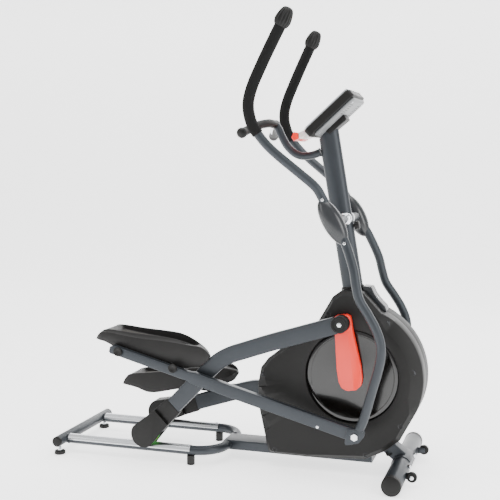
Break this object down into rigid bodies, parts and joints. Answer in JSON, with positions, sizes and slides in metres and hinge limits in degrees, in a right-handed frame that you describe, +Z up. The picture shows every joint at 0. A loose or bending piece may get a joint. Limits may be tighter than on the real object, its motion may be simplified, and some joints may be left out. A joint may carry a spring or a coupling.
{
  "type": "elliptical trainer",
  "caption": "Front-drive elliptical trainer: leaning mast with console, swinging handles, crank-driven roller arms on a rail frame, pedals and flywheel casing.",
  "frame": {"origin": "on the floor, at the middle of the bounding box", "axes": "+X forward to the console and flywheel end, +Y to the user's left, +Z up"},
  "size_m": [1.3708, 0.587, 1.6179],
  "materials": {
    "frame_paint": "dark slate grey powder coat, satin",
    "bright_metal": "bright drawn metal",
    "black_plastic": "moulded black plastic, fine texture",
    "gloss_black": "polished black plastic",
    "red_plastic": "glossy orange red plastic",
    "cast_iron": "machined cast iron",
    "foam": "closed cell foam, matte",
    "rubber": "matte rubber",
    "green_urethane": "smooth urethane",
    "grey_plastic": "light grey moulded plastic"
  },
  "bodies": {
    "root": {"center_beam": "frame_paint", "front_neck": "frame_paint", "front_stabilizer": "frame_paint", "rear_crossbar": "frame_paint", "rail_tube_r": "frame_paint", "rail_tube_l": "frame_paint", "frame_post": "frame_paint", "mast": "frame_paint", "pulse_bar": "frame_paint", "rail_sleeve_r": "bright_metal", "rail_sleeve_l": "bright_metal", "swing_axle": "bright_metal", "flywheel_mount": "bright_metal", "shroud_r": "black_plastic", "shroud_l": "black_plastic", "console_body": "black_plastic", "mid_foot_r": "black_plastic", "mid_foot_l": "black_plastic", "pulse_grip_r": "black_plastic", "pulse_grip_l": "black_plastic", "drive_belt": "rubber", "console_back": "grey_plastic"},
    "crank": {"crank_axle": "bright_metal", "drive_pulley": "cast_iron", "crank_arm_r": "bright_metal", "crank_arm_l": "bright_metal", "crank_cover_r": "red_plastic", "crank_cover_l": "red_plastic", "crank_disc_r": "gloss_black", "crank_disc_l": "gloss_black"},
    "flywheel": {"flywheel": "cast_iron"},
    "brake": {"brake_yoke": "cast_iron"},
    "truck_r": {"roller_axle_r": "bright_metal"},
    "roller_r": {"roller_wheel_r": "green_urethane"},
    "arm_r": {"roller_arm_r": "frame_paint", "roller_cover_r": "black_plastic"},
    "sleeve_r": {"pivot_sleeve_r": "bright_metal"},
    "swing_r": {"swing_arm_r": "frame_paint", "handle_tube_r": "frame_paint", "handle_grip_r": "foam", "pivot_cover_r": "black_plastic"},
    "bolt_r": {"link_bolt_r": "bright_metal"},
    "pedal_r": {"pedal_bar_r": "frame_paint", "pedal_r": "black_plastic"},
    "foot_r": {"leveling_foot_r": "rubber"},
    "transport_r": {"transport_wheel_r": "black_plastic"},
    "truck_l": {"roller_axle_l": "bright_metal"},
    "roller_l": {"roller_wheel_l": "green_urethane"},
    "arm_l": {"roller_arm_l": "frame_paint", "roller_cover_l": "black_plastic"},
    "sleeve_l": {"pivot_sleeve_l": "bright_metal"},
    "swing_l": {"swing_arm_l": "frame_paint", "handle_tube_l": "frame_paint", "handle_grip_l": "foam", "pivot_cover_l": "black_plastic"},
    "bolt_l": {"link_bolt_l": "bright_metal"},
    "pedal_l": {"pedal_bar_l": "frame_paint", "pedal_l": "black_plastic"},
    "foot_l": {"leveling_foot_l": "rubber"},
    "transport_l": {"transport_wheel_l": "black_plastic"}
  },
  "joints": [
    {"name": "crank_spin", "type": "hinge", "parent": "root", "child": "crank", "pos_m": [0.438, 0, 0.353], "axis": [0, -1, 0], "continuous": true},
    {"name": "flywheel_spin", "type": "hinge", "parent": "root", "child": "flywheel", "pos_m": [0.235, 0, 0.215], "axis": [0, -1, 0], "continuous": true},
    {"name": "brake_lever", "type": "hinge", "parent": "root", "child": "brake", "pos_m": [0.1902, 0, 0.3258], "axis": [0, -1, 0], "range_deg": [-4, 0]},
    {"name": "stride_right", "type": "slide", "parent": "root", "child": "truck_r", "axis": [1, 0, 0], "range_m": [-0.216, 0.149]},
    {"name": "roller_spin_right", "type": "hinge", "parent": "truck_r", "child": "roller_r", "pos_m": [-0.3207, -0.154, 0.104], "axis": [0, -1, 0], "range_deg": [-266.7, 384.8]},
    {"name": "lift_right", "type": "hinge", "parent": "truck_r", "child": "arm_r", "pos_m": [-0.3207, -0.154, 0.104], "axis": [0, -1, 0], "range_deg": [-28, 0]},
    {"name": "swing_sleeve_right", "type": "hinge", "parent": "root", "child": "sleeve_r", "pos_m": [0.395, -0.2, 0.903], "axis": [0, -1, 0], "range_deg": [-17.9, 12.5]},
    {"name": "swing_arm_right", "type": "hinge", "parent": "sleeve_r", "child": "swing_r", "pos_m": [0.395, -0.2, 0.903], "axis": [0, -1, 0], "range_deg": [-0.5, 8.5]},
    {"name": "bar_bolt_right", "type": "hinge", "parent": "swing_r", "child": "bolt_r", "pos_m": [0.475, -0.2, 0.175], "axis": [0, -1, 0], "range_deg": [-10.7, 15.3]},
    {"name": "pedal_bar_right", "type": "hinge", "parent": "bolt_r", "child": "pedal_r", "pos_m": [0.475, -0.2, 0.175], "axis": [0, -1, 0], "range_deg": [-0.5, 6.5]},
    {"name": "foot_turn_right", "type": "hinge", "parent": "root", "child": "foot_r", "pos_m": [-0.665, -0.187, 0.01], "axis": [0, 0, 1], "continuous": true},
    {"name": "transport_spin_right", "type": "hinge", "parent": "root", "child": "transport_r", "pos_m": [0.6625, -0.162, 0.036], "axis": [0, -1, 0], "continuous": true},
    {"name": "stride_left", "type": "slide", "parent": "root", "child": "truck_l", "axis": [1, 0, 0], "range_m": [-0.15, 0.217]},
    {"name": "roller_spin_left", "type": "hinge", "parent": "truck_l", "child": "roller_l", "pos_m": [-0.3868, 0.154, 0.104], "axis": [0, -1, 0], "range_deg": [-384.8, 266.7]},
    {"name": "lift_left", "type": "hinge", "parent": "truck_l", "child": "arm_l", "pos_m": [-0.3868, 0.154, 0.104], "axis": [0, -1, 0], "range_deg": [-0.5, 28.5]},
    {"name": "swing_sleeve_left", "type": "hinge", "parent": "root", "child": "sleeve_l", "pos_m": [0.395, 0.2, 0.903], "axis": [0, -1, 0], "range_deg": [-12.5, 17.9]},
    {"name": "swing_arm_left", "type": "hinge", "parent": "sleeve_l", "child": "swing_l", "pos_m": [0.395, 0.2, 0.903], "axis": [0, -1, 0], "range_deg": [-8.5, 0.5]},
    {"name": "bar_bolt_left", "type": "hinge", "parent": "swing_l", "child": "bolt_l", "pos_m": [0.5089, 0.2, 0.1795], "axis": [0, -1, 0], "range_deg": [-15.3, 10.7]},
    {"name": "pedal_bar_left", "type": "hinge", "parent": "bolt_l", "child": "pedal_l", "pos_m": [0.5089, 0.2, 0.1795], "axis": [0, -1, 0], "range_deg": [-6.5, 0.5]},
    {"name": "foot_turn_left", "type": "hinge", "parent": "root", "child": "foot_l", "pos_m": [-0.665, 0.187, 0.01], "axis": [0, 0, 1], "continuous": true},
    {"name": "transport_spin_left", "type": "hinge", "parent": "root", "child": "transport_l", "pos_m": [0.6625, 0.162, 0.036], "axis": [0, -1, 0], "continuous": true}
  ],
  "couplings": [
    {"joint": "flywheel_spin", "follows": "crank_spin", "ratio": 6.929},
    {"joint": "roller_spin_right", "follows": "stride_right", "rad_per_m": -30.769},
    {"joint": "swing_sleeve_right", "follows": "stride_right", "rad_per_m": 1.4081},
    {"joint": "swing_arm_right", "follows": "lift_right", "ratio": -0.2841},
    {"joint": "bar_bolt_right", "follows": "stride_right", "rad_per_m": -1.1956},
    {"joint": "pedal_bar_right", "follows": "lift_right", "ratio": -0.2157},
    {"joint": "stride_left", "follows": "stride_right", "ratio": -1},
    {"joint": "lift_left", "follows": "lift_right", "ratio": -1},
    {"joint": "roller_spin_left", "follows": "stride_right", "rad_per_m": 30.769},
    {"joint": "swing_sleeve_left", "follows": "stride_right", "rad_per_m": -1.4081},
    {"joint": "swing_arm_left", "follows": "lift_right", "ratio": 0.2841},
    {"joint": "bar_bolt_left", "follows": "stride_right", "rad_per_m": 1.1956},
    {"joint": "pedal_bar_left", "follows": "lift_right", "ratio": 0.2157}
  ]
}
